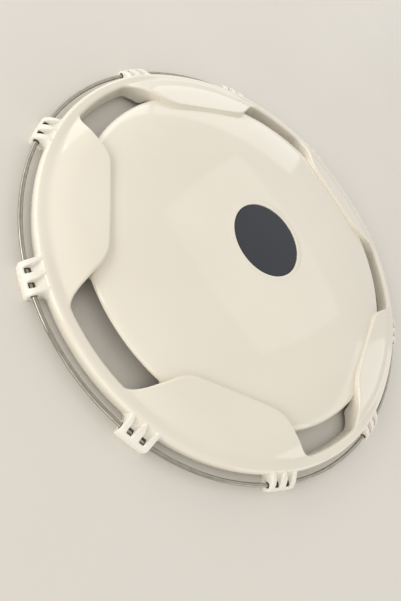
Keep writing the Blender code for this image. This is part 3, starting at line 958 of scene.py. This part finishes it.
def bump_from(tree, shader, value, strength, distance):
    """Let a noise value raise the surface, by at most distance in metres."""
    node = tree.nodes.new("ShaderNodeBump")
    node.inputs["Strength"].default_value = strength
    node.inputs["Distance"].default_value = distance
    tree.links.new(value, node.inputs["Height"])
    tree.links.new(node.outputs["Normal"], shader.inputs["Normal"])


def cover_paint():
    """Glossy cream lacquer: faint mottling, fine orange peel, and a few dull patches."""
    material, tree, shader = new_material("cream_lacquer", CREAM, roughness=0.14)
    place = object_place(tree)
    mottling = noise(tree, place, scale=14.0)
    dull_patches = noise(tree, place, scale=55.0, detail=5.0, roughness=0.6)
    orange_peel = noise(tree, place, scale=420.0, detail=2.0)
    color_from(tree, shader, mottling, CREAM_SHADE, CREAM)
    roughness_from(tree, shader, dull_patches, low=0.07, high=0.12)
    bump_from(tree, shader, orange_peel, strength=0.12, distance=0.00004)
    shader.inputs["Coat Weight"].default_value = COAT_WEIGHT
    shader.inputs["Coat Roughness"].default_value = COAT_ROUGHNESS
    return material


def cover_back():
    """The unpainted back: the same plastic, satin, with a fine mould texture."""
    material, tree, shader = new_material("cream_plastic_back", CREAM_BACK, roughness=0.5)
    place = object_place(tree)
    mottling = noise(tree, place, scale=22.0, detail=4.0)
    satin = noise(tree, place, scale=90.0)
    mould_texture = noise(tree, place, scale=1600.0, detail=2.0)
    color_from(tree, shader, mottling, darker(CREAM_BACK, 0.93), CREAM_BACK)
    roughness_from(tree, shader, satin, low=0.42, high=0.60)
    bump_from(tree, shader, mould_texture, strength=0.3, distance=0.00006)
    return material


def clip_nylon():
    """Satin moulded nylon, a little paler than the lacquer."""
    material, tree, shader = new_material("cream_nylon", CLIP_CREAM, roughness=0.34)
    place = object_place(tree)
    mottling = noise(tree, place, scale=120.0)
    satin = noise(tree, place, scale=300.0)
    mould_texture = noise(tree, place, scale=1400.0, detail=2.0)
    color_from(tree, shader, mottling, darker(CLIP_CREAM, 0.965), CLIP_CREAM)
    roughness_from(tree, shader, satin, low=0.20, high=0.32)
    bump_from(tree, shader, mould_texture, strength=0.08, distance=0.00004)
    return material


def spring_steel():
    """Drawn wire: fine lines along it, and faint darker bands across it."""
    material, tree, shader = new_material("drawn_spring_steel", STEEL, roughness=0.26, metallic=1.0)
    place = tree.nodes.new("ShaderNodeTexCoord").outputs["UV"]
    lines = noise(tree, stretched(tree, place, WIRE_LINES), scale=3.0, detail=4.0)
    bands = noise(tree, stretched(tree, place, WIRE_BANDS), scale=3.0)
    color_from(tree, shader, bands, darker(STEEL, 0.82), STEEL, start=0.35, end=0.65)
    roughness_from(tree, shader, lines, low=0.06, high=0.14)
    bump_from(tree, shader, lines, strength=0.1, distance=0.00002)
    return material


def badge_vinyl():
    """Dark blue-grey vinyl with a fine grain and faint cloudy wear."""
    material, tree, shader = new_material("badge_vinyl", BADGE_DARK, roughness=0.5)
    place = object_place(tree)
    wear = noise(tree, place, scale=60.0, detail=6.0, roughness=0.65)
    grain = noise(tree, place, scale=1500.0)
    color_from(tree, shader, wear, BADGE_DARK, BADGE_LIGHT, end=0.72)
    roughness_from(tree, shader, wear, low=0.42, high=0.56)
    bump_from(tree, shader, grain, strength=0.35, distance=0.00008)
    return material


def plain_grain(name, color, roughness, grain_scale):
    """A simple material with slight mottling and a fine grain, for hidden inner pieces."""
    material, tree, shader = new_material(name, color, roughness)
    place = object_place(tree)
    mottling = noise(tree, place, scale=80.0)
    color_from(tree, shader, mottling, darker(color, 0.85), color)
    bump_from(tree, shader, noise(tree, place, grain_scale), strength=0.3, distance=0.00008)
    return material


def finish_node(node, material):
    """Give a CAD node that stays visible its material."""
    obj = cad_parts[node]
    obj.data.materials.clear()
    obj.data.materials.append(material)


# --- Floor, light and camera ------------------------------------------------------------------
def build_floor():
    """A pale matt floor just under the clips."""
    material, tree, shader = new_material("pale_floor", FLOOR_COLOR, roughness=0.55)
    mottling = noise(tree, object_place(tree), scale=6.0)
    color_from(tree, shader, mottling, darker(FLOOR_COLOR, 0.97), FLOOR_COLOR)
    bpy.ops.mesh.primitive_plane_add(size=FLOOR_SIZE, location=(0.0, 0.0, cad_low.z - FLOOR_DROP))
    floor = bpy.context.object
    floor.name = "studio_floor"
    floor.data.materials.append(material)


def panel_light(name, direction, height_angle, radiance):
    """A soft panel that stands round the cover and faces it."""
    light = bpy.data.lights.new(name, "AREA")
    light.shape = "RECTANGLE"
    light.size, light.size_y = PANEL_SIZE
    light.energy = radiance * math.pi * light.size * light.size_y
    light.color = LIGHT_COLOR
    up = math.radians(height_angle)
    place = Vector(ring_point(direction, PANEL_AWAY * math.cos(up), PANEL_AWAY * math.sin(up)))
    obj = bpy.data.objects.new(name, light)
    obj.location = place
    obj.rotation_euler = (-place).to_track_quat("-Z", "Y").to_euler()
    bpy.context.scene.collection.objects.link(obj)


def build_lights():
    """An even pale world, and the panels round the cover."""
    world = bpy.data.worlds.new("studio")
    world.use_nodes = True
    background = world.node_tree.nodes["Background"]
    background.inputs["Color"].default_value = (*LIGHT_COLOR, 1.0)
    background.inputs["Strength"].default_value = WORLD_STRENGTH
    bpy.context.scene.world = world
    for name, direction, height_angle, radiance in PANELS:
        panel_light(name, direction, height_angle, radiance)


def build_camera():
    """The photograph's viewpoint, from above the cover and rolled to one side."""
    camera = bpy.data.cameras.new("camera")
    camera.lens = CAMERA_LENS
    camera.sensor_width = CAMERA_SENSOR
    camera.shift_x, camera.shift_y = CAMERA_SHIFT
    camera.clip_start = CAMERA_NEAR
    obj = bpy.data.objects.new("camera", camera)
    place = Vector(CAMERA_PLACE)
    look = (Vector(CAMERA_AIM) - place).to_track_quat("-Z", "Y").to_matrix().to_4x4()
    roll = Matrix.Rotation(math.radians(CAMERA_ROLL), 4, "Z")
    obj.matrix_world = Matrix.Translation(place) @ look @ roll
    bpy.context.scene.collection.objects.link(obj)
    bpy.context.scene.camera = obj


build_camera()
build_lights()
build_floor()
build_cover(cover_paint(), cover_back())
build_clips(clip_nylon())
build_ring(spring_steel())
build_badge(badge_vinyl())
finish_node("badge_carrier",
            plain_grain("carrier_plastic", CARRIER_BLACK, roughness=0.45, grain_scale=1200.0))
finish_node("badge_adhesive",
            plain_grain("adhesive_foam", FOAM_GREY, roughness=0.9, grain_scale=2500.0))
bpy.context.scene.view_settings.view_transform = "Standard"
